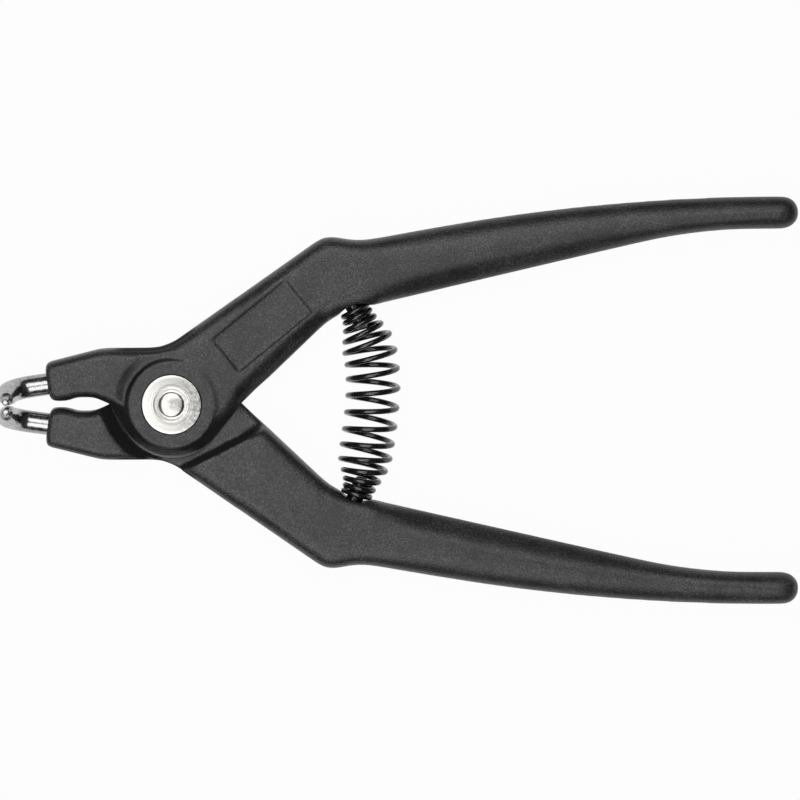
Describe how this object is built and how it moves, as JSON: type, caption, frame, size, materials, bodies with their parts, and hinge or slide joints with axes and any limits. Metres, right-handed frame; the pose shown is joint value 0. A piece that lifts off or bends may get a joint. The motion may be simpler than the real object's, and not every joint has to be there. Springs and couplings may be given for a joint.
{
  "type": "circlip pliers",
  "caption": "Pliers for external retaining rings: two forged levers lapped at a rivet, right-angled pin tips, and a barrel spring that holds the grips open and the tips closed.",
  "frame": {"origin": "on the pivot axis, at the flat underside of the rivet's head, where the pliers rest", "axes": "+X along the centre line towards the grips, +Y towards the upper lever, +Z along the pivot axis to the side that the tips point to"},
  "size_m": [0.1997, 0.1022, 0.0223],
  "materials": {
    "phosphated_forging": "matt black phosphate on a drop forging",
    "turned_steel": "bright, turned",
    "polished_tip_steel": "bright, ground and polished",
    "blackened_spring_steel": "oil blackened wire, semi gloss"
  },
  "bodies": {
    "upper": {"upper_lever": "phosphated_forging", "pivot_rivet": "turned_steel", "rivet_collar": "turned_steel", "upper_tip": "polished_tip_steel", "upper_spring_peg": "blackened_spring_steel", "return_spring": "blackened_spring_steel"},
    "lower": {"lower_lever": "phosphated_forging", "lower_tip": "polished_tip_steel", "lower_spring_peg": "blackened_spring_steel"}
  },
  "joints": [
    {"name": "pivot", "type": "hinge", "parent": "upper", "child": "lower", "pos_m": [0, 0, 0.0069], "axis": [0, 0, 1], "range_deg": [0, 24], "stiffness_Nm_per_rad": 2, "springref_deg": -8.59, "deforming": ["return_spring"]}
  ]
}
